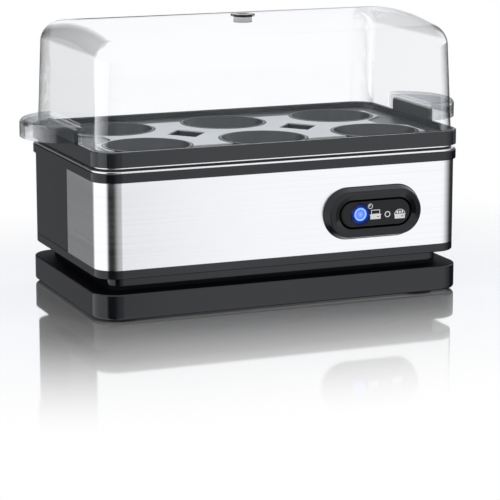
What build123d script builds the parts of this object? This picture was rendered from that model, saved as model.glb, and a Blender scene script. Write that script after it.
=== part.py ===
from build123d import *
import os
from math import radians, tan

os.makedirs("parts", exist_ok=True)

# An electric egg cooker: a steel-banded housing with a heated water pan, a six-egg rack and a clear lid.
# Millimetres. +Z is up, the control faces -Y, and the origin is on the table under the middle.

# Fits that all pieces share
slip = 0.3  # gap between pieces that slide or drop together
running_gap = 0.1  # gap round a pin, a screw or a plug in its hole
overrun = 5.0  # how far a cut runs past the face that it opens
near = 0.01  # how close to a height an edge lies to be picked by it

# Outline of the base and of the rack's rim
body_length = 190.0
body_depth = 112.0
corner_radius = 12.0
least_corner = 2.0  # tightest corner of any inner outline
wall_inset = 1.2  # how far the body's walls stand in from base and rim

# Heights of the stack, from the table up
foot_stand = 1.0
base_height = 12.5
neck_height = 6.9
lower_ring_height = 4.3
band_height = 41.6
upper_ring_height = 4.6
pan_sheet = 0.9
gasket_height = 0.8
trim_height = 1.0
rim_height = 7.3

# Base, bottom cover, feet and long screws
base_wall = 2.5
base_top_round = 0.8
base_bottom_round = 1.5
cover_recess = 0.5
cover_thickness = 3.0
foot_radius = 7.0
foot_seat = 1.5
foot_round = 0.6
foot_end_inset = 17.0
foot_side_inset = 16.0
screw_end_inset = 35.0
screw_side_inset = 34.0
screw_radius = 1.75
head_radius = 3.5
head_height = 1.4
head_sink = 1.6
head_slot = 0.9
boss_radius = 4.5

# Neck, lower ring and upper ring
neck_inset = 9.0
neck_corner = 6.0
neck_wall = 2.5
ring_floor = 2.5
ring_round = 0.8
collar_round = 0.4
lip_wall = 1.5
lip_height = 2.5
post_rise = 5.0
post_cap = 1.5

# Housing shell and steel band
band_sheet = 0.8
band_glue = 0.1
shell_wall = 2.2
band_reach = 50.0  # how far the steel runs back along each side
panel_end_inset = 16.0  # from the end of the base to the rear panel
panel_chamfer = 0.4

# Water pan, gasket and trim ring
flange_inset = 0.6
flange_round = 0.3
bowl_drop = 15.0
bowl_round = 4.0
stud_end_inset = 45.0
stud_side_inset = 38.0
stud_radius = 2.0
stud_length = 9.0
gasket_inset = 0.4  # how far the gasket stands back under the trim
gasket_width = 3.0
trim_inset = 2.0
trim_width = 3.6
trim_round = 0.3

# Heat plate, heating element, nuts, thermostat and fuse
plate_end_inset = 33.0
plate_side_inset = 27.0
plate_corner = 10.0
plate_thickness = 3.0
nut_radius = 4.0
nut_height = 3.2
heater_radius = 3.0
heater_right_inset = 26.0
heater_left_inset = 22.0
heater_side_inset = 7.0
heater_drop = 10.5
heater_bend = 8.0
heater_turn = 18.0
ear_length = 30.0
ear_width = 11.0
ear_thickness = 1.0
ear_hole_spacing = 22.0
ear_screw_radius = 1.4
ear_screw_head_radius = 2.5
ear_screw_head_height = 1.6
ear_screw_grip = 2.0
thermostat_radius = 8.0
thermostat_height = 8.0
blade_spacing = 12.0
blade_thickness = 0.8
blade_width = 6.0
blade_length = 8.0
fuse_start = 18.0
fuse_length = 14.0
fuse_radius = 2.0
fuse_wire_radius = 0.6
fuse_wire_length = 4.0
clip_width = 6.0
clip_sheet = 0.6
clip_foot = 4.0

# Terminal block, leads and cord gland
gland_inset = 39.0  # from the right end of the base to the gland
gland_rise = 1.0  # how far the gland stands above the lower ring's lip
gland_radius = 5.0
gland_flange_radius = 6.5
gland_round = 1.0
gland_tail = 4.0
cord_bore_radius = 3.4
terminal_length = 32.0
terminal_depth = 14.0
terminal_height = 14.0
terminal_setback = 8.0
pole_pitch = 10.0
pole_height = 7.1
terminal_screw_spacing = 7.0
terminal_screw_radius = 1.8
terminal_screw_depth = 4.0
terminal_screw_slot = 0.7
lead_radius = 1.2
lead_grip = 3.0
lead_bend = 2.4
lead_loop_drop = 4.8  # how far a lead dips under the blade that it plugs on

# Switch bezel, rocker, pin and what stands behind them
control_inset = 48.3  # from the body's right end to the middle of the control
control_drop = 37.3  # from the rack's rim down to the middle of the control
bezel_length = 51.4
bezel_height = 25.2
bezel_proud = 5.2
bezel_draft = 16.0  # degrees
bezel_rim = 2.2
bezel_round = 0.8
dish_depth = 0.5
rocker_length = 36.9
rocker_height = 12.6
rocker_thickness = 9.0
rocker_proud = 0.3  # how far the rocker stands out of the dish
rocker_round = 0.7
rocker_gap = 0.9
rocker_room = 4.5
pivot_depth = 7.0  # from the rocker's face to its pin
pin_radius = 1.0
skirt_wall = 1.6
light_offset = 8.3
light_radius = 3.2
light_wall = 0.8
light_depth = 2.5
lens_sink = 0.2
switch_flange = 2.0
switch_length = 26.0
switch_height = 12.0
switch_depth = 8.0
led_radius = 1.5
led_height = 3.0
led_round = 1.0
board_length = 44.0
board_height = 20.0
board_thickness = 1.6
buzzer_radius = 5.5
buzzer_height = 7.0
buzzer_offset = 13.5
buzzer_port_radius = 1.0
pad_drop = 7.0
live_pad_offset = 3.5
thermostat_pad_offset = 19.5
pad_run = 9.0

# Egg rack and its light inlay
rim_wall = 2.2
rim_round = 0.6
rim_seat = 4.6  # width of the rim's foot on the trim ring
floor_drop = 2.9
rack_floor = 2.0
cup_column_share = 0.3158  # spacing of the cups as a share of the body's length
cup_row_share = 0.475  # and of its depth
cup_radius = 20.4
cup_foot_radius = 16.5
cup_wall = 1.4
cup_lip = 0.8
cup_round = 0.4
cup_depth = 8.0
tab_side_gap = 2.0
tab_rise = 6.5
tab_round = 2.0
tab_edge_round = 0.6
steam_half_x = 10.3
steam_half_y = 12.5
inlay_end_inset = 12.0
inlay_side_inset = 19.8
inlay_sheet = 0.6
notch_mouth = 33.8
notch_throat = 11.4
notch_reach = 12.0

# Lid and steam vent
lid_gap = 0.35
lid_crown_corner = 12.5
lid_wall = 2.0
lid_draft = 1.45  # degrees
lid_rise = 55.0
crown_radius = 250.0
lid_round = 10.5
handle_reach = 21.8
handle_share = 0.45  # width of a handle as a share of the body's depth
handle_wall = 2.0
handle_roof = 1.6
handle_rise = 9.2
handle_gap = 0.4
handle_round = 2.6
vent_radius = 6.0
vent_neck_radius = 4.6
vent_neck_wall = 1.4
vent_flange = 0.6
vent_tail = 1.5
vent_slot_length = 5.0
vent_slot_width = 1.2
vent_slot_pitch = 2.2

# Levels worked out from the heights
base_bottom = foot_stand
base_top = base_bottom + base_height
neck_top = base_top + neck_height
band_bottom = neck_top + lower_ring_height
band_top = band_bottom + band_height
ring_top = band_top + upper_ring_height
flange_top = ring_top + pan_sheet
gasket_top = flange_top + gasket_height
trim_top = gasket_top + trim_height
rim_top = trim_top + rim_height
cover_bottom = base_bottom + cover_recess
cover_top = cover_bottom + cover_thickness
head_top = cover_bottom + head_sink
head_bottom = head_top - head_height
ring_floor_top = neck_top + ring_floor
post_top = ring_floor_top + post_rise
bowl_bottom = flange_top - bowl_drop
plate_bottom = bowl_bottom - plate_thickness
rack_floor_top = rim_top - floor_drop
rack_floor_bottom = rack_floor_top - rack_floor
cup_bottom = rack_floor_bottom - cup_depth
lid_bottom = rack_floor_top
lid_apex = rim_top + lid_rise

# Insets of the nested outlines, counted in from the base's outline
band_seat = band_sheet + band_glue
shell_inner = wall_inset + band_seat + shell_wall
lip_outer = shell_inner + slip
lip_inner = lip_outer + lip_wall
bowl_outer = lip_inner + slip
bowl_inner = bowl_outer + pan_sheet
gasket_outer = trim_inset + gasket_inset
front_y = wall_inset - body_depth / 2
rear_y = body_depth / 2 - wall_inset
seam_y = front_y + band_reach

# Grids that follow the body's outline
foot_grid = (body_length - 2 * foot_end_inset, body_depth - 2 * foot_side_inset)
screw_grid = (body_length - 2 * screw_end_inset, body_depth - 2 * screw_side_inset)
stud_grid = (body_length - 2 * stud_end_inset, body_depth - 2 * stud_side_inset)
cup_grid = (body_length * cup_column_share, body_depth * cup_row_share)
steam_x = cup_grid[0] / 2

# Control plane: on the steel's face, X to the right, Z up, pointing out of the front
control_x = body_length / 2 - wall_inset - control_inset
control_z = rim_top - control_drop
control = Plane(origin=(control_x, front_y, control_z), x_dir=(1, 0, 0), z_dir=(0, -1, 0))
rocker_face = bezel_proud - dish_depth + rocker_proud
pivot_y = front_y - rocker_face + pivot_depth
well_length = rocker_length + 2 * rocker_gap
well_height = rocker_height + 2 * rocker_gap
skirt_length = well_length + 2 * skirt_wall
skirt_height = well_height + 2 * skirt_wall
skirt_depth = rocker_thickness - rocker_face + rocker_room
switch_rear = skirt_depth + switch_flange + switch_depth
board_rear_y = front_y + switch_rear + board_thickness

# Rear plane: on the rear wall at the cord gland, pointing out of the back
gland_x = body_length / 2 - gland_inset
gland_z = band_bottom + lip_height + gland_rise + gland_radius
gland_proud = bezel_proud
rear = Plane(origin=(gland_x, rear_y, gland_z), x_dir=(-1, 0, 0), z_dir=(0, 1, 0))
rear_face = Plane(origin=(0, rear_y, (band_bottom + band_top) / 2), x_dir=(-1, 0, 0), z_dir=(0, 1, 0))
panel_length = body_length - 2 * panel_end_inset
terminal_y = body_depth / 2 - shell_inner - terminal_setback - terminal_depth / 2
terminal_front = terminal_y - terminal_depth / 2
pole_z = ring_floor_top + pole_height

# Places under the heat plate
plate_length = body_length - 2 * plate_end_inset
plate_depth = body_depth - 2 * plate_side_inset
heater_right = plate_length / 2 - heater_right_inset
heater_left = plate_length / 2 - heater_left_inset
heater_half_width = plate_depth / 2 - heater_side_inset
heater_z = plate_bottom - heater_radius - running_gap
heater_end = heater_z - heater_drop
thermostat_top = plate_bottom - ear_thickness
thermostat_bottom = thermostat_top - thermostat_height
blade_bottom = thermostat_bottom - blade_length
loop_z = blade_bottom - lead_loop_drop
fuse_z = plate_bottom - fuse_radius - running_gap
fuse_end = fuse_start + fuse_length
stud_bottom = bowl_bottom - stud_length


def outline(inset):
    """Length, depth and corner radius of the body's outline, drawn in by an inset."""
    radius = max(corner_radius - inset, least_corner)
    return body_length - 2 * inset, body_depth - 2 * inset, radius


def slab(shape, low, high, mode=Mode.ADD):
    """Add or cut a straight-sided block of a rounded outline between two heights."""
    with BuildSketch(Plane.XY.offset(low)) as face:
        RectangleRounded(*shape)
    extrude(face.sketch, amount=high - low, mode=mode)


def posts(grid, radius, low, high, mode=Mode.ADD):
    """Add or cut four round posts on a rectangular grid between two heights."""
    with BuildSketch(Plane.XY.offset(low)) as dots:
        with GridLocations(*grid, 2, 2):
            Circle(radius)
    extrude(dots.sketch, amount=high - low, mode=mode)


def flat_edges(builder, axis, place):
    """The edges of a part that lie flat at one place along an axis."""
    picked = []
    for edge in builder.edges():
        box = edge.bounding_box()
        low = box.min.dot(axis.direction)
        high = box.max.dot(axis.direction)
        if abs(low - place) < near and abs(high - place) < near:
            picked.append(edge)
    return picked


def lead(points):
    """One insulated lead along a route of straight runs and bends."""
    with BuildLine() as route:
        FilletPolyline(*points, radius=lead_bend)
    with BuildSketch(Plane(origin=route.line @ 0, z_dir=route.line % 0)) as section:
        Circle(lead_radius)
    sweep(section.sketch, path=route.line)


# Base tray: the wide foot of the housing, hollow below, with four screw bosses
with BuildPart() as base_tray:
    slab(outline(0), base_bottom, base_top)
    fillet(flat_edges(base_tray, Axis.Z, base_top), base_top_round)
    fillet(flat_edges(base_tray, Axis.Z, base_bottom), base_bottom_round)
    slab(outline(base_wall), base_bottom, base_top - base_wall, Mode.SUBTRACT)
    posts(screw_grid, boss_radius, cover_top, base_top - base_wall)
    posts(screw_grid, screw_radius + running_gap, cover_top, base_top, Mode.SUBTRACT)
base_tray.part.label = "base_tray"
export_step(base_tray.part, "parts/base_tray.step")

# Bottom cover: the plate that closes the base, with seats for the feet and the screw heads
with BuildPart() as bottom_cover:
    slab(outline(base_wall + slip), cover_bottom, cover_top)
    posts(foot_grid, foot_radius + running_gap, cover_bottom, cover_bottom + foot_seat, Mode.SUBTRACT)
    posts(screw_grid, head_radius + running_gap, cover_bottom, head_top, Mode.SUBTRACT)
    posts(screw_grid, screw_radius + running_gap, cover_bottom, cover_top, Mode.SUBTRACT)
bottom_cover.part.label = "bottom_cover"
export_step(bottom_cover.part, "parts/bottom_cover.step")

# Rubber feet: four discs that stand the object on the table
with BuildPart() as rubber_feet:
    posts(foot_grid, foot_radius, 0, cover_bottom + foot_seat)
    fillet(flat_edges(rubber_feet, Axis.Z, 0), foot_round)
rubber_feet.part.label = "rubber_feet"
export_step(rubber_feet.part, "parts/rubber_feet.step")

# Base screws: four long screws that pull cover, base and neck up against the lower ring
with BuildPart() as base_screws:
    posts(screw_grid, head_radius, head_bottom, head_top)
    posts(screw_grid, screw_radius, head_top, post_top - post_cap - slip)
    with BuildSketch(Plane.XY.offset(head_bottom)):
        with GridLocations(*screw_grid, 2, 2):
            Rectangle(2 * screw_radius, head_slot)
            Rectangle(head_slot, 2 * screw_radius)
    extrude(amount=head_height / 2, mode=Mode.SUBTRACT)
base_screws.part.label = "base_screws"
export_step(base_screws.part, "parts/base_screws.step")

# Neck: the set-in band between the base and the body, where a lead is wound up
neck_length = body_length - 2 * neck_inset
neck_depth = body_depth - 2 * neck_inset
with BuildPart() as neck:
    slab((neck_length, neck_depth, neck_corner), base_top, neck_top)
    neck_hollow = (neck_length - 2 * neck_wall, neck_depth - 2 * neck_wall, neck_corner - neck_wall)
    slab(neck_hollow, base_top, neck_top, Mode.SUBTRACT)
neck.part.label = "neck"
export_step(neck.part, "parts/neck.step")

# Lower ring: the floor of the body, with a locating lip and the posts that take the base screws
with BuildPart() as lower_ring:
    slab(outline(wall_inset), neck_top, band_bottom)
    fillet(flat_edges(lower_ring, Axis.Z, neck_top), ring_round)
    slab(outline(lip_outer), band_bottom, band_bottom + lip_height)
    slab(outline(lip_inner), ring_floor_top, band_bottom + lip_height, Mode.SUBTRACT)
    posts(screw_grid, boss_radius, base_top, post_top)
    posts(screw_grid, screw_radius + running_gap, base_top, post_top - post_cap, Mode.SUBTRACT)
lower_ring.part.label = "lower_ring"
export_step(lower_ring.part, "parts/lower_ring.step")

# Housing shell: the walls of the body, set back at the front to seat the steel band
with BuildPart() as housing_shell:
    with BuildSketch(Plane.XY.offset(band_bottom)):
        RectangleRounded(*outline(wall_inset))
        with Locations((0, seam_y)):
            Rectangle(body_length, body_depth, align=(Align.CENTER, Align.MAX), mode=Mode.SUBTRACT)
        RectangleRounded(*outline(wall_inset + band_seat))
        RectangleRounded(*outline(shell_inner), mode=Mode.SUBTRACT)
    extrude(amount=band_height)
    with BuildSketch(control):
        SlotOverall(skirt_length + 2 * slip, skirt_height + 2 * slip)
    extrude(amount=-(band_seat + shell_wall + overrun), mode=Mode.SUBTRACT)
    with BuildSketch(rear_face):
        Rectangle(panel_length, band_height)
    extrude(amount=-(band_seat + shell_wall + overrun), mode=Mode.SUBTRACT)
housing_shell.part.label = "housing_shell"
export_step(housing_shell.part, "parts/housing_shell.step")

# Rear panel: the flat insert that closes the rear wall and carries the cord gland
with BuildPart() as rear_panel:
    with BuildSketch(rear_face):
        Rectangle(panel_length, band_height)
    extrude(amount=-(band_seat + shell_wall))
    seam_edges = rear_panel.edges().filter_by(Axis.Z).group_by(Axis.Y)[-1]
    chamfer(seam_edges, panel_chamfer)
    with BuildSketch(rear):
        Circle(gland_radius + running_gap)
    extrude(amount=-(band_seat + shell_wall + overrun), mode=Mode.SUBTRACT)
rear_panel.part.label = "rear_panel"
export_step(rear_panel.part, "parts/rear_panel.step")

# Steel band: brushed sheet round the front and both front corners, cut out for the bezel
with BuildPart() as steel_band:
    with BuildSketch(Plane.XY.offset(band_bottom)):
        RectangleRounded(*outline(wall_inset))
        RectangleRounded(*outline(wall_inset + band_sheet), mode=Mode.SUBTRACT)
        with Locations((0, seam_y - slip)):
            Rectangle(body_length, body_depth, align=(Align.CENTER, Align.MIN), mode=Mode.SUBTRACT)
    extrude(amount=band_height)
    with BuildSketch(control):
        SlotOverall(bezel_length + 2 * slip, bezel_height + 2 * slip)
    extrude(amount=-(band_sheet + overrun), mode=Mode.SUBTRACT)
steel_band.part.label = "steel_band"
export_step(steel_band.part, "parts/steel_band.step")

# Upper ring: the black collar above the steel that carries the pan's flange
with BuildPart() as upper_ring:
    slab(outline(0), band_top, ring_top)
    fillet(flat_edges(upper_ring, Axis.Z, band_top), collar_round)
    fillet(flat_edges(upper_ring, Axis.Z, ring_top), collar_round)
    slab(outline(lip_outer), band_top - lip_height, band_top)
    slab(outline(lip_inner), band_top - lip_height, ring_top, Mode.SUBTRACT)
upper_ring.part.label = "upper_ring"
export_step(upper_ring.part, "parts/upper_ring.step")

# Water pan: pressed steel, with a flat flange at the top and four welded studs below
with BuildPart() as pan_hollow:
    slab(outline(bowl_inner), bowl_bottom + pan_sheet, flange_top)
    fillet(flat_edges(pan_hollow, Axis.Z, bowl_bottom + pan_sheet), bowl_round - pan_sheet)

with BuildPart() as water_pan:
    slab(outline(bowl_outer), bowl_bottom, flange_top)
    fillet(flat_edges(water_pan, Axis.Z, bowl_bottom), bowl_round)
    slab(outline(flange_inset), ring_top, flange_top)
    fillet(flat_edges(water_pan, Axis.Z, flange_top), flange_round)
    add(pan_hollow.part, mode=Mode.SUBTRACT)
    posts(stud_grid, stud_radius, stud_bottom, bowl_bottom)
water_pan.part.label = "water_pan"
export_step(water_pan.part, "parts/water_pan.step")

# Pan gasket: the silicone ring that shows as a dark groove under the trim
with BuildPart() as pan_gasket:
    slab(outline(gasket_outer), flange_top, gasket_top)
    slab(outline(gasket_outer + gasket_width), flange_top, gasket_top, Mode.SUBTRACT)
pan_gasket.part.label = "pan_gasket"
export_step(pan_gasket.part, "parts/pan_gasket.step")

# Trim ring: the polished ring on which the rack's rim rests
with BuildPart() as trim_ring:
    slab(outline(trim_inset), gasket_top, trim_top)
    fillet(flat_edges(trim_ring, Axis.Z, gasket_top), trim_round)
    fillet(flat_edges(trim_ring, Axis.Z, trim_top), trim_round)
    slab(outline(trim_inset + trim_width), gasket_top, trim_top, Mode.SUBTRACT)
trim_ring.part.label = "trim_ring"
export_step(trim_ring.part, "parts/trim_ring.step")

# Heat plate: the aluminium plate under the pan that spreads the heat
ear_screws = [(0, ear_hole_spacing / 2), (0, -ear_hole_spacing / 2)]
with BuildPart() as heat_plate:
    slab((plate_length, plate_depth, plate_corner), plate_bottom, bowl_bottom)
    posts(stud_grid, stud_radius + running_gap, plate_bottom, bowl_bottom, Mode.SUBTRACT)
    with BuildSketch(Plane.XY.offset(plate_bottom)):
        with Locations(*ear_screws):
            Circle(ear_screw_radius + running_gap)
    extrude(amount=ear_screw_grip + running_gap, mode=Mode.SUBTRACT)
heat_plate.part.label = "heat_plate"
export_step(heat_plate.part, "parts/heat_plate.step")

# Plate nuts: four hexagon nuts on the pan's studs
with BuildPart() as plate_nuts:
    with BuildSketch(Plane.XY.offset(plate_bottom - nut_height)):
        with GridLocations(*stud_grid, 2, 2):
            RegularPolygon(nut_radius, 6)
            Circle(stud_radius + running_gap, mode=Mode.SUBTRACT)
    extrude(amount=nut_height)
plate_nuts.part.label = "plate_nuts"
export_step(plate_nuts.part, "parts/plate_nuts.step")

# Heating element: a sheathed tube bent to a loop under the plate, with both ends turned down
heater_route = [
    (heater_right, -heater_half_width, heater_end),
    (heater_right, -heater_half_width, heater_z),
    (-heater_left, -heater_half_width, heater_z),
    (-heater_left, heater_half_width, heater_z),
    (heater_right, heater_half_width, heater_z),
    (heater_right, heater_half_width, heater_end),
]
with BuildPart() as heating_element:
    with BuildLine() as heater_line:
        FilletPolyline(*heater_route, radius=[heater_bend, heater_turn, heater_turn, heater_bend])
    with BuildSketch(Plane(origin=heater_line.line @ 0, z_dir=heater_line.line % 0)):
        Circle(heater_radius)
    sweep()
heating_element.part.label = "heating_element"
export_step(heating_element.part, "parts/heating_element.step")

# Thermostat: a bimetal disc switch with a fixing ear and two blades
with BuildPart() as thermostat:
    with BuildSketch(Plane.XY.offset(thermostat_top)):
        SlotOverall(ear_length, ear_width, rotation=90)
        with Locations(*ear_screws):
            Circle(ear_screw_radius + running_gap, mode=Mode.SUBTRACT)
    extrude(amount=ear_thickness)
    with BuildSketch(Plane.XY.offset(thermostat_bottom)):
        Circle(thermostat_radius)
    extrude(amount=thermostat_height)
    with BuildSketch(Plane.XY.offset(blade_bottom)):
        with GridLocations(blade_spacing, 0, 2, 1):
            Rectangle(blade_thickness, blade_width)
    extrude(amount=blade_length)
thermostat.part.label = "thermostat"
export_step(thermostat.part, "parts/thermostat.step")

# Thermostat screws: two short screws through the ear into the plate
with BuildPart() as thermostat_screws:
    with BuildSketch(Plane.XY.offset(thermostat_top)):
        with Locations(*ear_screws):
            Circle(ear_screw_head_radius)
    extrude(amount=-ear_screw_head_height)
    with BuildSketch(Plane.XY.offset(thermostat_top)):
        with Locations(*ear_screws):
            Circle(ear_screw_radius)
    extrude(amount=ear_thickness + ear_screw_grip)
thermostat_screws.part.label = "thermostat_screws"
export_step(thermostat_screws.part, "parts/thermostat_screws.step")

# Thermal fuse: a small capsule with a wire at each end, held against the plate
with BuildPart() as thermal_fuse:
    with BuildSketch(Plane.YZ.offset(fuse_start)):
        with Locations((0, fuse_z)):
            Circle(fuse_radius)
    extrude(amount=fuse_length)
    with BuildSketch(Plane.YZ.offset(fuse_start - fuse_wire_length)):
        with Locations((0, fuse_z)):
            Circle(fuse_wire_radius)
    extrude(amount=fuse_length + 2 * fuse_wire_length)
thermal_fuse.part.label = "thermal_fuse"
export_step(thermal_fuse.part, "parts/thermal_fuse.step")

# Fuse clip: a strap under the fuse, with two feet on the plate
clip_inner = fuse_radius + running_gap
clip_outer = clip_inner + clip_sheet
with BuildPart() as fuse_clip:
    with BuildSketch(Plane.YZ.offset(fuse_start + fuse_length / 2)):
        with Locations((0, fuse_z)):
            Circle(clip_outer)
            Rectangle(2 * clip_outer, plate_bottom - fuse_z, align=(Align.CENTER, Align.MIN))
        with Locations((0, plate_bottom)):
            Rectangle(2 * (clip_outer + clip_foot), clip_sheet, align=(Align.CENTER, Align.MAX))
        with Locations((0, fuse_z)):
            Circle(clip_inner, mode=Mode.SUBTRACT)
            Rectangle(2 * clip_inner, clip_outer, align=(Align.CENTER, Align.MIN), mode=Mode.SUBTRACT)
    extrude(amount=clip_width / 2, both=True)
fuse_clip.part.label = "fuse_clip"
export_step(fuse_clip.part, "parts/fuse_clip.step")

# Terminal block: three poles on the body's floor, in front of the cord gland
with BuildPart() as terminal_block:
    with BuildSketch(Plane.XY.offset(ring_floor_top)):
        with Locations((gland_x, terminal_y)):
            Rectangle(terminal_length, terminal_depth)
    extrude(amount=terminal_height)
    with BuildSketch(Plane.XY.offset(ring_floor_top + terminal_height)):
        with Locations((gland_x, terminal_y)):
            with GridLocations(pole_pitch, terminal_screw_spacing, 3, 2):
                Circle(terminal_screw_radius + running_gap)
    extrude(amount=-terminal_screw_depth, mode=Mode.SUBTRACT)
    with BuildSketch(Plane(origin=(gland_x, terminal_front, pole_z), x_dir=(1, 0, 0), z_dir=(0, -1, 0))):
        with GridLocations(pole_pitch, 0, 3, 1):
            Circle(lead_radius + running_gap)
    extrude(amount=-lead_grip, mode=Mode.SUBTRACT)
terminal_block.part.label = "terminal_block"
export_step(terminal_block.part, "parts/terminal_block.step")

# Terminal screws: six slotted screws in the top of the block
with BuildPart() as terminal_screws:
    with BuildSketch(Plane.XY.offset(ring_floor_top + terminal_height - terminal_screw_depth)):
        with Locations((gland_x, terminal_y)):
            with GridLocations(pole_pitch, terminal_screw_spacing, 3, 2):
                Circle(terminal_screw_radius)
    extrude(amount=terminal_screw_depth - terminal_screw_slot)
    with BuildSketch(Plane.XY.offset(ring_floor_top + terminal_height - terminal_screw_slot)):
        with Locations((gland_x, terminal_y)):
            with GridLocations(pole_pitch, terminal_screw_spacing, 3, 2):
                Rectangle(2 * terminal_screw_radius, terminal_screw_slot)
    extrude(amount=-terminal_screw_slot, mode=Mode.SUBTRACT)
terminal_screws.part.label = "terminal_screws"
export_step(terminal_screws.part, "parts/terminal_screws.step")

# Leads: neutral and earth from the block, live to the board, and on through thermostat and fuse
pole_y = terminal_front + lead_grip
neutral_x = gland_x - pole_pitch
earth_x = gland_x + pole_pitch
live_x = control_x + live_pad_offset
thermostat_pad_x = control_x - thermostat_pad_offset
pad_z = control_z - pad_drop
blade_x = blade_spacing / 2
fuse_lead_x = fuse_start - fuse_wire_length
heater_lead_x = fuse_end + fuse_wire_length
earth_y = stud_grid[1] / 2
earth_stud_x = stud_grid[0] / 2

with BuildPart() as neutral_lead:
    lead([
        (neutral_x, pole_y, pole_z),
        (neutral_x, heater_half_width, pole_z),
        (heater_right, heater_half_width, pole_z),
        (heater_right, heater_half_width, heater_end),
    ])
neutral_lead.part.label = "neutral_lead"
export_step(neutral_lead.part, "parts/neutral_lead.step")

with BuildPart() as earth_lead:
    lead([
        (earth_x, pole_y, pole_z),
        (earth_x, earth_y, pole_z),
        (earth_stud_x, earth_y, pole_z + terminal_height / 2),
        (earth_stud_x, earth_y, stud_bottom),
    ])
earth_lead.part.label = "earth_lead"
export_step(earth_lead.part, "parts/earth_lead.step")

with BuildPart() as live_lead:
    lead([
        (gland_x, pole_y, pole_z),
        (gland_x, terminal_front - terminal_depth, pole_z),
        (live_x, board_rear_y + 2 * pad_run, pad_z),
        (live_x, board_rear_y, pad_z),
    ])
live_lead.part.label = "live_lead"
export_step(live_lead.part, "parts/live_lead.step")

with BuildPart() as thermostat_lead:
    lead([
        (thermostat_pad_x, board_rear_y, pad_z),
        (thermostat_pad_x, board_rear_y + pad_run, pad_z),
        (-blade_x, 0, loop_z),
        (-blade_x, 0, blade_bottom),
    ])
thermostat_lead.part.label = "thermostat_lead"
export_step(thermostat_lead.part, "parts/thermostat_lead.step")

# Fuse leads: one from the thermostat to the fuse, one from the fuse to the heater's front end
with BuildPart() as fuse_leads:
    lead([
        (fuse_lead_x, 0, fuse_z),
        (fuse_lead_x - lead_bend - running_gap, 0, fuse_z),
        (fuse_lead_x - lead_bend - running_gap, 0, loop_z),
        (blade_x, 0, loop_z),
        (blade_x, 0, blade_bottom),
    ])
    lead([
        (heater_lead_x, 0, fuse_z),
        (heater_lead_x + 2 * lead_bend, 0, fuse_z),
        (heater_lead_x + 2 * lead_bend, 0, heater_end - 2 * lead_bend),
        (heater_right, -heater_half_width, heater_end - 2 * lead_bend),
        (heater_right, -heater_half_width, heater_end),
    ])
fuse_leads.part.label = "fuse_leads"
export_step(fuse_leads.part, "parts/fuse_leads.step")

# Cord gland: the bush in the rear wall, bored for the mains cord, as proud as the bezel is in front
with BuildPart() as cord_gland:
    with BuildSketch(rear):
        Circle(gland_flange_radius)
    extrude(amount=gland_proud)
    fillet(flat_edges(cord_gland, Axis.Y, rear_y + gland_proud), gland_round)
    with BuildSketch(rear):
        Circle(gland_radius)
    extrude(amount=-(band_seat + shell_wall + gland_tail))
    with BuildSketch(rear.offset(gland_proud)):
        Circle(cord_bore_radius)
    extrude(amount=-(gland_proud + band_seat + shell_wall + gland_tail), mode=Mode.SUBTRACT)
cord_gland.part.label = "cord_gland"
export_step(cord_gland.part, "parts/cord_gland.step")

# Switch bezel: a raised oval on the front, a little dished, with a skirt behind it that holds the rocker's pin
with BuildPart() as switch_bezel:
    with BuildSketch(control):
        SlotOverall(bezel_length, bezel_height)
    extrude(amount=bezel_proud, taper=bezel_draft)
    fillet(flat_edges(switch_bezel, Axis.Y, front_y - bezel_proud), bezel_round)
    with BuildSketch(control.offset(bezel_proud)):
        SlotOverall(well_length + 2 * bezel_rim, well_height + 2 * bezel_rim)
    with BuildSketch(control.offset(bezel_proud - dish_depth)):
        SlotOverall(well_length, well_height)
    loft(mode=Mode.SUBTRACT)
    with BuildSketch(control.offset(-band_seat)):
        SlotOverall(bezel_length, bezel_height)
    extrude(amount=band_seat)
    with BuildSketch(control.offset(-band_seat)):
        SlotOverall(skirt_length, skirt_height)
    extrude(amount=band_seat - skirt_depth)
    with BuildSketch(control.offset(bezel_proud)):
        SlotOverall(well_length, well_height)
    extrude(amount=-(bezel_proud + skirt_depth), mode=Mode.SUBTRACT)
    with BuildSketch(Plane.XY.offset(control_z)):
        with Locations((control_x, pivot_y)):
            Circle(pin_radius + running_gap / 2)
    extrude(amount=skirt_height, both=True, mode=Mode.SUBTRACT)
switch_bezel.part.label = "switch_bezel"
export_step(switch_bezel.part, "parts/switch_bezel.step")

# Rocker: the pill that tips left or right about an upright pin, with a hole for its light
with BuildPart() as rocker:
    with BuildSketch(control.offset(rocker_face)):
        SlotOverall(rocker_length, rocker_height)
    extrude(amount=-rocker_thickness)
    fillet(flat_edges(rocker, Axis.Y, front_y - rocker_face), rocker_round)
    with BuildSketch(control.offset(rocker_face)):
        with Locations((-light_offset, 0)):
            Circle(light_radius + running_gap / 2)
    extrude(amount=-rocker_thickness, mode=Mode.SUBTRACT)
    with BuildSketch(Plane.XY.offset(control_z)):
        with Locations((control_x, pivot_y)):
            Circle(pin_radius + running_gap)
    extrude(amount=rocker_height, both=True, mode=Mode.SUBTRACT)
rocker.part.label = "rocker"
export_step(rocker.part, "parts/rocker.step")

# Rocker pin: the upright steel pin in the bezel's skirt
with BuildPart() as rocker_pin:
    with BuildSketch(Plane.XY.offset(control_z)):
        with Locations((control_x, pivot_y)):
            Circle(pin_radius)
    extrude(amount=skirt_height / 2, both=True)
rocker_pin.part.label = "rocker_pin"
export_step(rocker_pin.part, "parts/rocker_pin.step")

# Light ring and lens: the lit indicator let into the rocker
with BuildPart() as light_ring:
    with BuildSketch(control.offset(rocker_face)):
        with Locations((-light_offset, 0)):
            Circle(light_radius)
            Circle(light_radius - light_wall, mode=Mode.SUBTRACT)
    extrude(amount=-light_depth)
light_ring.part.label = "light_ring"
export_step(light_ring.part, "parts/light_ring.step")

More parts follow.
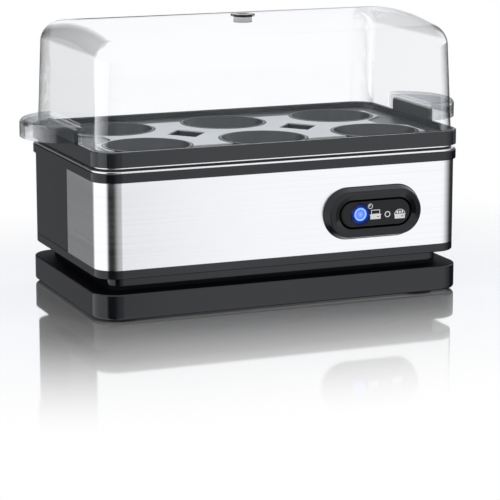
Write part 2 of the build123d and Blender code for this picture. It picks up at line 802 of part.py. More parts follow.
with BuildPart() as light_lens:
    with BuildSketch(control.offset(rocker_face - lens_sink)):
        with Locations((-light_offset, 0)):
            Circle(light_radius - light_wall - running_gap / 2)
    extrude(amount=lens_sink - light_depth)
light_lens.part.label = "light_lens"
export_step(light_lens.part, "parts/light_lens.step")

# Switch body: closes the skirt from behind and carries the board
with BuildPart() as switch_body:
    with BuildSketch(control.offset(-skirt_depth)):
        SlotOverall(skirt_length, skirt_height)
    extrude(amount=-switch_flange)
    with BuildSketch(control.offset(-skirt_depth - switch_flange)):
        Rectangle(switch_length, switch_height)
    extrude(amount=-switch_depth)
switch_body.part.label = "switch_body"
export_step(switch_body.part, "parts/switch_body.step")

# Indicator LED: a small lamp on the switch body, behind the light ring
with BuildPart() as indicator_led:
    with BuildSketch(control.offset(-skirt_depth)):
        with Locations((-light_offset, 0)):
            Circle(led_radius)
    extrude(amount=led_height)
    fillet(flat_edges(indicator_led, Axis.Y, front_y + skirt_depth - led_height), led_round)
indicator_led.part.label = "indicator_led"
export_step(indicator_led.part, "parts/indicator_led.step")

# Control board: the small circuit board on the back of the switch
with BuildPart() as control_board:
    with BuildSketch(control.offset(-switch_rear)):
        Rectangle(board_length, board_height)
    extrude(amount=-board_thickness)
control_board.part.label = "control_board"
export_step(control_board.part, "parts/control_board.step")

# Buzzer: the round sounder on the board that says when the eggs are done
with BuildPart() as buzzer:
    with BuildSketch(control.offset(-switch_rear - board_thickness)):
        with Locations((buzzer_offset, 0)):
            Circle(buzzer_radius)
    extrude(amount=-buzzer_height)
    with BuildSketch(control.offset(-switch_rear - board_thickness - buzzer_height)):
        with Locations((buzzer_offset, 0)):
            Circle(buzzer_port_radius)
    extrude(amount=buzzer_height / 2, mode=Mode.SUBTRACT)
buzzer.part.label = "buzzer"
export_step(buzzer.part, "parts/buzzer.step")

# Egg rack: a tray with a deep rim, six open cups, two steam holes and a lifting tab at each end
steam_outline = [(0, steam_half_y), (steam_half_x, 0), (0, -steam_half_y), (-steam_half_x, 0)]
cup_top = rack_floor_top + cup_lip
handle_width = body_depth * handle_share
tab_width = handle_width - 2 * (handle_wall + tab_side_gap)
with BuildPart() as tab:
    with BuildSketch(Plane.YZ.offset(body_length / 2 - rim_wall)) as tab_face:
        with Locations((0, trim_top)):
            Rectangle(tab_width, rim_height + tab_rise, align=(Align.CENTER, Align.MIN))
        fillet(tab_face.vertices().group_by(Axis.Y)[-1], tab_round)
    extrude(amount=rim_wall)
    tab_edges = flat_edges(tab, Axis.Z, rim_top + tab_rise)
    fillet([edge for edge in tab_edges if edge.length > rim_wall], tab_edge_round)

with BuildPart() as egg_rack:
    slab(outline(0), trim_top, rim_top)
    slab(outline(rim_wall), rack_floor_top, rim_top, Mode.SUBTRACT)
    slab(outline(rim_seat), trim_top, rack_floor_bottom, Mode.SUBTRACT)
    fillet(flat_edges(egg_rack, Axis.Z, rim_top), rim_round)
    cup_align = (Align.CENTER, Align.CENTER, Align.MIN)
    with Locations((0, 0, cup_bottom)):
        with GridLocations(*cup_grid, 3, 2):
            Cone(cup_foot_radius + cup_wall, cup_radius + cup_wall, cup_top - cup_bottom, align=cup_align)
    with Locations((0, 0, cup_bottom)):
        with GridLocations(*cup_grid, 3, 2):
            Cone(cup_foot_radius, cup_radius, cup_top - cup_bottom, align=cup_align, mode=Mode.SUBTRACT)
    fillet(flat_edges(egg_rack, Axis.Z, cup_top), cup_round)
    with BuildSketch(Plane.XY.offset(rack_floor_bottom)):
        with Locations((-steam_x, 0), (steam_x, 0)):
            Polygon(*steam_outline)
    extrude(amount=rack_floor, mode=Mode.SUBTRACT)
    add(tab.part)
    mirror(tab.part, about=Plane.YZ)
egg_rack.part.label = "egg_rack"
export_step(egg_rack.part, "parts/egg_rack.step")

# Rack inlay: the thin light web that lies between the cups
inlay_length = body_length - 2 * inlay_end_inset
inlay_depth = body_depth - 2 * inlay_side_inset
notch_outline = [
    (inlay_length / 2, -notch_mouth / 2),
    (inlay_length / 2, notch_mouth / 2),
    (inlay_length / 2 - notch_reach, notch_throat / 2),
    (inlay_length / 2 - notch_reach, -notch_throat / 2),
]
with BuildPart() as rack_inlay:
    with BuildSketch(Plane.XY.offset(rack_floor_top)):
        Rectangle(inlay_length, inlay_depth)
        with GridLocations(*cup_grid, 3, 2):
            Circle(cup_radius + cup_wall + slip, mode=Mode.SUBTRACT)
        with Locations((-steam_x, 0), (steam_x, 0)):
            Polygon(*steam_outline, mode=Mode.SUBTRACT)
        Polygon(*notch_outline, align=None, mode=Mode.SUBTRACT)
        with Locations(Rotation(0, 0, 180)):
            Polygon(*notch_outline, align=None, mode=Mode.SUBTRACT)
    extrude(amount=inlay_sheet)
rack_inlay.part.label = "rack_inlay"
export_step(rack_inlay.part, "parts/rack_inlay.step")

# Lid form: straight walls with a little draft under an arched, rounded top
lid_length = body_length - 2 * (rim_wall + lid_gap)
lid_depth = body_depth - 2 * (rim_wall + lid_gap)
lid_end = lid_length / 2
lid_foot_corner = corner_radius - rim_wall - lid_gap
lid_lean = (lid_apex - lid_bottom) * tan(radians(lid_draft))


def dome(builder, inset):
    """The lid's outside, or the hollow inside it, drawn in by an inset."""
    radius = crown_radius - inset
    half = lid_depth / 2
    top = lid_apex - inset
    edge = top - radius + (radius**2 - half**2) ** 0.5
    with BuildSketch(Plane.XY.offset(lid_bottom)) as foot:
        RectangleRounded(lid_length - 2 * inset, lid_depth - 2 * inset, lid_foot_corner - inset)
    with BuildSketch(Plane.XY.offset(lid_apex)) as crown:
        drawn_in = 2 * (inset + lid_lean)
        RectangleRounded(lid_length - drawn_in, lid_depth - drawn_in, lid_crown_corner - inset)
    loft([foot.sketch, crown.sketch], ruled=True)
    with BuildSketch(Plane.YZ) as arch:
        with BuildLine():
            ThreePointArc((-half, edge), (0, top), (half, edge))
            Polyline((half, edge), (half, lid_bottom), (-half, lid_bottom), (-half, edge))
        make_face()
    extrude(arch.sketch, amount=lid_length, both=True, mode=Mode.INTERSECT)
    fillet(builder.faces().sort_by(Axis.Z)[-1].edges(), lid_round - inset)


with BuildPart() as lid_hollow:
    dome(lid_hollow, lid_wall)

# Lid: the clear dome, with a hollow D-shaped handle at each end and a hole for the vent
handle_top = rim_top + handle_rise
handle_foot = rim_top + handle_gap
with BuildPart() as lid:
    dome(lid, 0)
    with BuildSketch(Plane.XY.offset(handle_foot)):
        with Locations((-lid_end, 0), (lid_end, 0)):
            Ellipse(handle_reach, handle_width / 2)
    extrude(amount=handle_top - handle_foot)
    handle_rims = [edge for edge in flat_edges(lid, Axis.Z, handle_top) if edge.geom_type == GeomType.ELLIPSE]
    fillet(handle_rims, handle_round)
    add(lid_hollow.part, mode=Mode.SUBTRACT)
    with BuildSketch(Plane.XY.offset(lid_bottom)):
        with Locations((-lid_end, 0), (lid_end, 0)):
            Ellipse(handle_reach - handle_wall, handle_width / 2 - handle_wall)
    extrude(amount=handle_top - handle_roof - lid_bottom, mode=Mode.SUBTRACT)
    with BuildSketch(Plane.XY.offset(lid_apex)):
        Circle(vent_neck_radius + running_gap)
    extrude(amount=overrun, both=True, mode=Mode.SUBTRACT)
lid.part.label = "lid"
export_step(lid.part, "parts/lid.step")

# Steam vent: a black plug in the lid's top with three slots
with BuildPart() as steam_vent:
    with BuildSketch(Plane.XY.offset(lid_apex)):
        Circle(vent_radius)
    extrude(amount=vent_flange)
    with BuildSketch(Plane.XY.offset(lid_apex)):
        Circle(vent_neck_radius)
        Circle(vent_neck_radius - vent_neck_wall, mode=Mode.SUBTRACT)
    extrude(amount=-(lid_wall + vent_tail))
    with BuildSketch(Plane.XY.offset(lid_apex)):
        with GridLocations(0, vent_slot_pitch, 1, 3):
            SlotOverall(vent_slot_length, vent_slot_width)
    extrude(amount=vent_flange, mode=Mode.SUBTRACT)
steam_vent.part.label = "steam_vent"
export_step(steam_vent.part, "parts/steam_vent.step")
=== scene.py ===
# %% [markdown]
# An electric egg cooker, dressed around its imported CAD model.
# The solids come from the CAD frame and stay where they are. This lesson adds the camera, the
# studio, a finish for every solid, and the small pieces that only a renderer needs.

# %% Load the frame
import math

import bpy
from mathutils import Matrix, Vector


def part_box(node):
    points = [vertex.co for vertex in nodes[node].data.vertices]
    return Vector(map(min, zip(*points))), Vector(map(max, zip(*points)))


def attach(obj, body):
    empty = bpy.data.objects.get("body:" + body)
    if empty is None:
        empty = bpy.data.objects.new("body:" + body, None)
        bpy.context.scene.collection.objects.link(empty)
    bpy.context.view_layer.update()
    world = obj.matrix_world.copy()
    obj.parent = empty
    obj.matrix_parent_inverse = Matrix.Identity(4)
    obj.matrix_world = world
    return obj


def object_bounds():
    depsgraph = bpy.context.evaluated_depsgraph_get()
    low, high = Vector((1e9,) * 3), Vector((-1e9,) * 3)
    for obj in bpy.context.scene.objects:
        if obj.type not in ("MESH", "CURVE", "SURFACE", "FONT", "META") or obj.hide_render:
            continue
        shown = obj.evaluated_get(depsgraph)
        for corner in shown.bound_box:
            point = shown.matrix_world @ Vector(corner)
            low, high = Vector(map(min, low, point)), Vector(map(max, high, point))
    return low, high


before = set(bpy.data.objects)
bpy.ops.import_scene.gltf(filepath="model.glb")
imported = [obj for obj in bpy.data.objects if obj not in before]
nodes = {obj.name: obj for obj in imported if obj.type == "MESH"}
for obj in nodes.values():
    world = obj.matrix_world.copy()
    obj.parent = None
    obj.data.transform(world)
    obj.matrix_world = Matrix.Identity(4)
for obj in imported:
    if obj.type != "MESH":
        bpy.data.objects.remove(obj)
cad_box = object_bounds()

# %% [markdown]
# The camera comes first, because every look is judged through it. Its place, turn and lens were
# fitted to straight edges of the object, so the render lines up with no shift of the lens.

# %% Camera
CAMERA_PLACE = (-0.42318, -1.04257, 0.25539)
CAMERA_YAW = 22.2756
CAMERA_PITCH = 11.9478
CAMERA_LENS = 164.276
SENSOR_WIDTH = 36
NEAREST = 0.01

bpy.ops.object.select_all(action="DESELECT")
turn = (math.radians(90 - CAMERA_PITCH), 0, math.radians(-CAMERA_YAW))
bpy.ops.object.camera_add(location=CAMERA_PLACE, rotation=turn)
camera = bpy.context.object
camera.name = "camera"
camera.data.sensor_width = SENSOR_WIDTH
camera.data.lens = CAMERA_LENS
camera.data.clip_start = NEAREST
bpy.context.scene.camera = camera
print("camera lens in mm:", camera.data.lens)

# %% [markdown]
# Shader maths reads best as plain arithmetic. One small class wraps a socket, and its operators
# add Math nodes. The sheet that holds the nodes has one method that makes any kind of node, and
# short ones for the kinds that come back in many finishes.


# %% Node sheet
class Value:
    """A number that varies over a surface: one socket, with arithmetic."""

    def __init__(self, sheet, socket):
        self.sheet = sheet
        self.socket = socket

    def math(self, operation, *values):
        inputs = {place: value for place, value in enumerate(values)}
        return self.sheet.node("ShaderNodeMath", {"operation": operation}, inputs)

    def absolute(self):
        return self.math("ABSOLUTE", self)

    def at_least(self, other):
        return self.math("MAXIMUM", self, other)

    def __add__(self, other):
        return self.math("ADD", self, other)

    def __sub__(self, other):
        return self.math("SUBTRACT", self, other)

    def __rsub__(self, other):
        return self.math("SUBTRACT", other, self)

    def __mul__(self, other):
        return self.math("MULTIPLY", self, other)

    def __gt__(self, other):
        return self.math("GREATER_THAN", self, other)

    __radd__ = __add__
    __rmul__ = __mul__


class Sheet:
    """The node sheet of a material or of the world."""

    def __init__(self, owner):
        owner.use_nodes = True
        self.tree = owner.node_tree
        self.tree.nodes.clear()

    def node(self, kind, settings, inputs, out=0):
        made = self.tree.nodes.new(kind)
        for name, setting in settings.items():
            if name == "stops":
                self.set_stops(made.color_ramp, setting)
            else:
                setattr(made, name, setting)
        for name, value in inputs.items():
            if isinstance(value, Value):
                self.tree.links.new(value.socket, made.inputs[name])
            else:
                made.inputs[name].default_value = value
        return Value(self, made.outputs[out])

    def set_stops(self, ramp, stops):
        while len(ramp.elements) < len(stops):
            ramp.elements.new(0.5)
        for element, (place, colour) in zip(ramp.elements, stops):
            element.position = place
            element.color = colour

    def place(self):
        """Where a point of the surface is, in the object's own frame."""
        return self.node("ShaderNodeTexCoord", {}, {}, out="Object")

    def parts(self, vector):
        """The x, y and z of a vector."""
        outputs = self.node("ShaderNodeSeparateXYZ", {}, {0: vector}).socket.node.outputs
        return [Value(self, outputs[name]) for name in "XYZ"]

    def noise(self, place, scale, detail, **more):
        """Soft noise from 0 to 1."""
        return self.node("ShaderNodeTexNoise", {}, {"Vector": place, "Scale": scale, "Detail": detail, **more})

    def bump(self, height, rise, **more):
        """A relief in the finish."""
        inputs = {"Height": height, "Distance": rise, "Strength": 1.0, **more}
        return self.node("ShaderNodeBump", {}, inputs)

    def smooth_step(self, value, start, end):
        """A soft step from 0 to 1."""
        settings = {"interpolation_type": "SMOOTHSTEP"}
        return self.node("ShaderNodeMapRange", settings, {0: value, 1: start, 2: end})

    def finish(self, kind, surface):
        end = self.tree.nodes.new(kind)
        self.tree.links.new(surface.socket, end.inputs["Surface"])


def grey(level):
    """A neutral colour with full alpha."""
    return (level, level, level, 1)


def shade(tone, factor):
    """A colour made darker or lighter, with full alpha."""
    return tuple(min(1.0, factor * channel) for channel in tone) + (1,)


def mix(sheet, share, first, second):
    """A colour between two colours."""
    return sheet.node("ShaderNodeMix", {"data_type": "RGBA"}, {0: share, 6: first, 7: second}, out=2)


def distance(first, second):
    """The length of a line with these two sides."""
    return first.math("SQRT", first * first + second * second)


print("node sheet ready")

# %% [markdown]
# Gloss plastic and metal are only as good as what they mirror. The studio is a pale room with two
# broad soft panels, front right and left, a narrow one behind, and dark gaps between them. Those gaps
# draw the dark upright lines at the rounded corners and the grey end of the clear lid. Rays that only
# light the object get an even fill. The camera, and any ray that went through clear plastic, sees
# plain white.

# %% World
FILL_LEVEL = 0.5
# Each stop is an angle round the object, from the front towards its left end, and a brightness
LOW_PANELS = [
    (-180, 0.05), (-160, 0.05), (-155, 0.55), (-147, 0.55), (-140, 0.02), (-92, 0.03), (-72, 0.40),
    (-42, 1.05), (-26, 1.10), (-22, 1.14), (-20.3, 1.12), (-18.8, 0.84), (-14, 0.60), (4, 0.40),
    (17, 0.10), (24, 0.02), (50, 0.02), (60, 1.15), (142, 1.15), (152, 0.22), (174, 0.22), (180, 0.05),
]
HIGH_PANELS = [
    (-180, 0.4), (-172, 1.0), (-149, 1.0), (-143, 0.2), (-120, 0.2), (-110, 1.0), (128, 1.0),
    (142, 0.06), (172, 0.06), (180, 0.4),
]
PANEL_TINT = (0.975, 0.99, 1.025)
HORIZON = (-0.02, 0.02)
CEILING = (0.70, 0.85)


def ring_of_panels(room, angle, panels):
    """Brightness round the horizon, from a list of angles and levels."""
    stops = [((degrees + 180) / 360, [level * tint for tint in PANEL_TINT] + [1])
             for degrees, level in panels]
    return room.node("ShaderNodeValToRGB", {"stops": stops}, {0: angle * (0.5 / math.pi) + 0.5})


world = bpy.data.worlds.new("studio")
bpy.context.scene.world = world
room = Sheet(world)
ray_outputs = room.node("ShaderNodeLightPath", {}, {}).socket.node.outputs
camera_ray, mirror_ray, clear_ray = (Value(room, ray_outputs[name]) for name in (
    "Is Camera Ray", "Is Glossy Ray", "Is Transmission Ray"))
way = room.node("ShaderNodeTexCoord", {}, {}, out="Generated")
across, along, up = room.parts(way)
angle = across.math("ARCTAN2", across * -1, along * -1)
above_horizon = room.node("ShaderNodeMapRange", {}, {0: up, 1: HORIZON[0], 2: HORIZON[1]})
at_ceiling = room.node("ShaderNodeMapRange", {}, {0: up, 1: CEILING[0], 2: CEILING[1]})
high = mix(room, at_ceiling, ring_of_panels(room, angle, HIGH_PANELS), grey(1.0))
panels = mix(room, above_horizon, ring_of_panels(room, angle, LOW_PANELS), high)
lit = mix(room, mirror_ray, grey(FILL_LEVEL), panels)
seen = (camera_ray + clear_ray) > 0.5
shown = mix(room, seen, lit, grey(1.0))
room.finish("ShaderNodeOutputWorld", room.node("ShaderNodeBackground", {}, {"Color": shown}))
print("studio panels:", len(LOW_PANELS), "low and", len(HIGH_PANELS), "high stops")

# %% [markdown]
# Three soft lamps add the shadow and the form that an even fill leaves out: one large lamp above,
# and one at each front side. They are left out of mirror images, which the world already draws.

# %% Lamps
LAMPS = [
    ("lamp_top", (0.0, -0.1, 0.95), 1.0, 3.5),
    ("lamp_left", (-0.9, -0.55, 0.6), 0.7, 2.5),
    ("lamp_right", (0.75, -0.9, 0.55), 0.7, 2.5),
]
AIM = (0.0, 0.0, 0.06)


def add_lamp(name, place, size, power):
    """A square soft lamp that points at the object."""
    bpy.ops.object.light_add(type="AREA", location=place)
    lamp = bpy.context.object
    lamp.name = name
    lamp.data.size = size
    lamp.data.energy = power
    lamp.visible_glossy = False
    towards = [aim - start for aim, start in zip(AIM, place)]
    flat = math.hypot(towards[0], towards[1])
    lamp.rotation_euler = (math.atan2(flat, -towards[2]), 0, math.atan2(-towards[0], towards[1]))
    return lamp


for lamp_row in LAMPS:
    add_lamp(*lamp_row)
print("lamps:", [row[0] for row in LAMPS])

# %% [markdown]
# The floor is a pale, glossy patch that fades into the white room. It keeps the shadow and, near the
# base, a mirror image of the object. Mirror rays from the object pass through it, so that upright
# faces mirror the soft panels.

# %% Floor
FLOOR_SIZE = 2.4
FLOOR_TONE = 0.95
FLOOR_GLOSS = 0.05
FLOOR_IOR = 1.2
HAZE_SCALE = 3.0
HAZE = 0.02
# The base as shares of the length and depth of the whole box
BASE_SHARE = (0.83, 0.93)
FADE = (0.015, 0.19)
MIRROR_SHARE = 0.82
MIRROR_REACH = 0.30

bpy.ops.object.select_all(action="DESELECT")
bpy.ops.mesh.primitive_grid_add(x_subdivisions=8, y_subdivisions=8, size=FLOOR_SIZE, location=(0, 0, 0))
floor = bpy.context.object
floor.name = "floor"
floor.visible_glossy = False
floor_paint = bpy.data.materials.new("pale_floor")
sheet = Sheet(floor_paint)
spot = sheet.place()
floor_x, floor_y, _ = sheet.parts(spot)
past_end = floor_x.absolute() - cad_box[1][0] * BASE_SHARE[0]
past_side = floor_y.absolute() - cad_box[1][1] * BASE_SHARE[1]
away = distance(past_end.at_least(0.0), past_side.at_least(0.0))
haze = sheet.noise(spot, HAZE_SCALE, 2.0)
near = sheet.node("ShaderNodeMapRange", {}, {0: away, 1: MIRROR_REACH, 2: 0.0})
floor_surface = sheet.node("ShaderNodeBsdfPrincipled", {}, {
    "Base Color": mix(sheet, haze, grey(FLOOR_TONE), grey(FLOOR_TONE + HAZE)),
    "Metallic": near * MIRROR_SHARE, "Roughness": FLOOR_GLOSS, "IOR": FLOOR_IOR})
gone = sheet.smooth_step(away, *FADE)
clear_floor = sheet.node("ShaderNodeBsdfTransparent", {}, {})
sheet.finish("ShaderNodeOutputMaterial",
             sheet.node("ShaderNodeMixShader", {}, {0: gone, 1: floor_surface, 2: clear_floor}))
floor.data.materials.append(floor_paint)
print("floor size in m:", FLOOR_SIZE)

# %% [markdown]
# Most of the object is black moulded plastic with a clean gloss. Real mouldings are never quite
# even, so the roughness wanders a little and a very shallow bump stands for the skin of the mould.
# A thin band at the flat top and foot of the base and the shell is painted shade for the shadowed gaps
# between parts: black metal with high roughness, so that it draws no bright lines.
# The bezel is dished a little in its solid, and a sloping bump makes its mirror image turn as a deeper
# dish would.


# %% Moulded plastics
PATCH_SCALE = 35.0
TONE_SPREAD = 0.15
SHADE_BAND_ROUGHNESS = 0.6
DISH_SLOPE = 0.28
BLACK = (0.007, 0.0076, 0.0105)


def moulding(name, tone, roughness, wander, skin_scale, skin_depth, node=None, edge=0.0, ior=1.5, dished=None):
    """Moulded plastic, which can carry painted shade as a black, dull band at a node's top and foot, or be
    dished over a node's face.
    """
    paint = bpy.data.materials.new(name)
    sheet = Sheet(paint)
    spot = sheet.place()
    patches = sheet.noise(spot, PATCH_SCALE, 3.0)
    colour = mix(sheet, patches, shade(tone, 1 - TONE_SPREAD), shade(tone, 1 + TONE_SPREAD))
    relief = sheet.bump(sheet.noise(spot, skin_scale, 2.0), skin_depth)
    if dished:
        (left, _, low), (right, _, high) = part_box(dished)
        side, _, rise = sheet.parts(spot)
        side = (side - (left + right) / 2).absolute() - (right - left - high + low) / 2
        outwards = distance(side.at_least(0.0), rise - (low + high) / 2)
        relief = sheet.bump(outwards, DISH_SLOPE, Normal=relief)
    gloss = (patches - 0.5) * wander + roughness
    inputs = {"Base Color": colour, "Roughness": gloss, "Normal": relief, "IOR": ior}
    if node:
        foot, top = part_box(node)[0][2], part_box(node)[1][2]
        height = sheet.parts(spot)[2] - (foot + top) / 2
        # Painted shade: near the node's top and foot the plastic turns to black metal with high roughness, a
        # dark band for the shadowed gap there
        dull = height.absolute() > (top - foot) / 2 - edge
        inputs["Metallic"] = dull
        inputs["Roughness"] = gloss + dull * SHADE_BAND_ROUGHNESS
    sheet.finish("ShaderNodeOutputMaterial", sheet.node("ShaderNodeBsdfPrincipled", {}, inputs))
    return paint


gloss_black = moulding("gloss_black_moulding", BLACK, 0.09, 0.06, 900.0, 0.000002)
# The base and the shell carry the band of painted shade at their top and foot.
base_black = moulding("base_moulding", BLACK, 0.09, 0.06, 900.0, 0.000002, "base_tray", 0.0002)
shell_black = moulding("shell_moulding", BLACK, 0.09, 0.06, 900.0, 0.000002, "housing_shell", 0.0004)
satin_black = moulding("satin_black_moulding", (0.012, 0.012, 0.013), 0.38, 0.10, 1800.0, 0.000010)
switch_moulding = moulding("switch_moulding", (0.010, 0.010, 0.011), 0.22, 0.08, 1600.0, 0.000006, ior=1.32)
bezel_black = moulding("bezel_moulding", BLACK, 0.12, 0.06, 900.0, 0.000002, ior=1.42, dished="switch_bezel")
print("plastics:", gloss_black.name, satin_black.name, switch_moulding.name, bezel_black.name)

# %% [markdown]
# The steel is brushed along its length. A noise that is squeezed in height and drawn out along the
# length gives the hair lines, and these feed colour, roughness and a shallow bump together.


# %% Metals
METAL_DARK, METAL_LIGHT = 0.87, 1.08
CLOUD_SCALE = 22.0
CLOUD_SHARE = 0.3


def metal(name, tone, roughness, grain, grain_depth, stretch):
    """Metal with a grain: fine across one direction and long along the others."""
    paint = bpy.data.materials.new(name)
    sheet = Sheet(paint)
    spot = sheet.place()
    drawn = sheet.node("ShaderNodeMapping", {}, {"Vector": spot, "Scale": stretch})
    hairs = sheet.noise(drawn, 1.0, 4.0, Roughness=0.7)
    cloud = sheet.noise(spot, CLOUD_SCALE, 2.0)
    colour = mix(sheet, hairs, shade(tone, METAL_DARK), shade(tone, METAL_LIGHT))
    dull = (hairs - 0.5) * grain + (cloud - 0.5) * (CLOUD_SHARE * grain) + roughness
    surface = sheet.node("ShaderNodeBsdfPrincipled", {}, {
        "Base Color": colour, "Metallic": 1.0, "Roughness": dull, "Normal": sheet.bump(hairs, grain_depth)})
    sheet.finish("ShaderNodeOutputMaterial", surface)
    return paint


brushed_steel = metal("brushed_steel", (0.912, 0.912, 0.908), 0.17, 0.20, 0.0000015, (5.0, 5.0, 1000.0))
pressed_steel = metal("pressed_steel", (0.90, 0.905, 0.91), 0.18, 0.08, 0.0000010, (500.0, 500.0, 60.0))
polished_trim = metal("polished_trim", (0.97, 0.97, 0.975), 0.22, 0.04, 0.0000003, (300.0, 300.0, 300.0))
zinc_steel = metal("zinc_plated_steel", (0.62, 0.62, 0.60), 0.32, 0.15, 0.000004, (900.0, 900.0, 900.0))
heater_sheath = metal("heater_sheath", (0.33, 0.31, 0.29), 0.42, 0.20, 0.000004, (700.0, 700.0, 700.0))
cast_aluminium = metal("cast_aluminium", (0.70, 0.71, 0.72), 0.45, 0.20, 0.000010, (800.0, 800.0, 800.0))
turned_brass = metal("turned_brass", (0.75, 0.55, 0.24), 0.28, 0.15, 0.000003, (900.0, 900.0, 900.0))
fuse_can = metal("fuse_can", (0.62, 0.54, 0.38), 0.30, 0.12, 0.000002, (200.0, 1500.0, 1500.0))
print("metals on show:", brushed_steel.name, pressed_steel.name, polished_trim.name)

# %% [markdown]
# The lid is clear plastic with walls of 2 mm. So thin a wall hardly bends what is behind it, and real
# refraction would only trap rays in the rounded edges as hard black lines. So the lid is a window with
# a mirror on its outer skin.
# A point is on the outer skin if its depth below the lid's outer form is small. The form is a box with
# leaning walls, round corners, a round top edge and an arched roof, so the depth follows from those.

# %% Clear lid: its form
# Lengths in m: corner radii at the crown and the foot, the roof's arch, the round top edge, the gap to
# the rack's wall, and the depth that still counts as skin
LID_CORNER = 0.0125
LID_FOOT_CORNER = 0.00945
LID_CROWN = 0.25
LID_ROUND = 0.0105
LID_GAP = 0.00035
SKIN = 0.0006
LID_LEAN = math.tan(math.radians(1.45))
RACK_WALL = 0.0022
LID_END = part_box("egg_rack")[1][0] - RACK_WALL

lid_low, lid_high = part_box("lid")
lid_side = lid_high[1]
clear_lid = bpy.data.materials.new("clear_lid")
sheet = Sheet(clear_lid)
spot = sheet.place()
lid_x, lid_y, lid_z = sheet.parts(spot)
from_middle, from_centre_line = lid_x.absolute(), lid_y.absolute()
above_foot = lid_z - lid_low[2]
corner_growth = (LID_CORNER - LID_FOOT_CORNER) / (lid_high[2] - lid_low[2])
corner_here = above_foot * corner_growth + LID_FOOT_CORNER
drawn_in = above_foot * LID_LEAN + corner_here
round_x = (from_middle + drawn_in - (LID_END - LID_GAP)).at_least(0.0)
round_y = (from_centre_line + drawn_in - lid_side).at_least(0.0)
from_wall = corner_here - distance(round_x, round_y)
from_roof = LID_CROWN - distance(lid_y, lid_z - (lid_high[2] - LID_CROWN))
depth = LID_ROUND - distance((LID_ROUND - from_wall).at_least(0.0), (LID_ROUND - from_roof).at_least(0.0))
outer_skin = SKIN - depth > 0
print("clear lid: handles from |x| =", LID_END)

# %% [markdown]
# Layer Weight says how far a face turns from the eye, and the mirror's share grows with the fifth
# power of that, much as on real plastic. It grows sooner, with a lower power, at the upright corners,
# the shoulders, the end walls and the handles. The handles' roofs have an even mirror. The handles let
# less light through than the walls: partly as thicker plastic would, and partly as painted shade for
# the dark parts that are seen through them and mirrored in them.

# %% Clear lid: window and mirror
CLEAR_TINT = (0.994, 0.996, 0.999, 1)
HANDLE_SHADE_TINT = (0.81, 0.82, 0.83, 1)
MIRROR_TONE = 0.96
LEAST_MIRROR = 0.015
HANDLE_MIRROR = 0.12
SMEAR_SCALE = 18.0
SMEAR_SPREAD, LEAST_SMEAR = 0.03, 0.01
CORNER_BLEND = 0.0035
SHOULDER_BLEND = 0.003
FACES_END, FACES_UP = 0.9, 0.7
# The power on a plain wall, and what each place takes off it
PLAIN_POWER = 5.0
CORNER_SOONER, SHOULDER_SOONER, END_SOONER, HANDLE_SOONER = 4.0, 3.5, 1.0, 3.6
LAYERS_SEEN_THROUGH = 24

at_corner = sheet.smooth_step(from_centre_line - (lid_side - LID_CORNER), 0.0, CORNER_BLEND)
at_corner = at_corner * sheet.smooth_step(from_middle - (LID_END - LID_CORNER), 0.0, CORNER_BLEND)
past_end = from_middle - (LID_END - LID_ROUND)
past_wall = lid_z - (lid_high[2] - LID_ROUND)
at_shoulder = past_end.math("MINIMUM", past_end, past_wall + SHOULDER_BLEND)
at_shoulder = sheet.smooth_step(at_shoulder, 0.0, SHOULDER_BLEND)
on_handle = from_middle > LID_END
facing = Value(sheet, sheet.node("ShaderNodeNewGeometry", {}, {}).socket.node.outputs["Normal"])
facing_end, _, facing_up = sheet.parts(facing)
end_wall = facing_end.absolute() > FACES_END
handle_roof = on_handle * (facing_up.absolute() > FACES_UP)
sooner = (at_corner * CORNER_SOONER).at_least(at_shoulder * SHOULDER_SOONER)
sooner = sooner.at_least(end_wall * END_SOONER).at_least(on_handle * HANDLE_SOONER)
turned = sheet.node("ShaderNodeLayerWeight", {}, {"Blend": 0.5}, out="Facing")
share = turned.math("POWER", turned, PLAIN_POWER - sooner) * (1 - LEAST_MIRROR) + LEAST_MIRROR
mirror = share * outer_skin * (1 - handle_roof) + handle_roof * HANDLE_MIRROR
smear = sheet.noise(spot, SMEAR_SCALE, 3.0)
shine = sheet.node("ShaderNodeBsdfPrincipled", {}, {
    "Base Color": grey(MIRROR_TONE), "Metallic": 1.0, "Roughness": smear * SMEAR_SPREAD + LEAST_SMEAR})
thin = sheet.node("ShaderNodeBsdfTransparent", {}, {"Color": CLEAR_TINT})
# The handles' window is darker: partly thicker plastic, partly painted shade for the dark seen through and
# mirrored in them
handle_shaded_window = sheet.node("ShaderNodeBsdfTransparent", {}, {"Color": HANDLE_SHADE_TINT})
window = sheet.node("ShaderNodeMixShader", {}, {0: on_handle, 1: thin, 2: handle_shaded_window})
lid_surface = sheet.node("ShaderNodeMixShader", {}, {0: mirror, 1: window, 2: shine})
sheet.finish("ShaderNodeOutputMaterial", lid_surface)
bpy.context.scene.cycles.transparent_max_bounces = LAYERS_SEEN_THROUGH
print("clear lid: least mirror", LEAST_MIRROR)

# %% [markdown]
# The egg rack is one black moulding with two skins. Its rim is polished like the housing, and the
# floor inside the lid and the tabs are satin and a little paler. Masks by place do that, so no extra
# piece is needed. The very top of the tabs is a pale band, a painted highlight that stands for the light
# caught by their rounded top edge.

# %% Rack
RIM_GLOSS = 0.09
RACK_SATIN = 0.33
RACK_WANDER = 0.05
RIM_WALL = 0.0021
TAB_RISE = 0.0063
TAB_HIGHLIGHT_BAND = 0.0006
TAB_HIGHLIGHT_TONE = 0.4
RACK_PATCH_SCALE, RACK_SKIN_SCALE, RACK_SKIN_DEPTH = 40.0, 1500.0, 0.000006
rack_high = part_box("egg_rack")[1]
rack_inside = [rack_high[axis] - RIM_WALL for axis in (0, 1)]

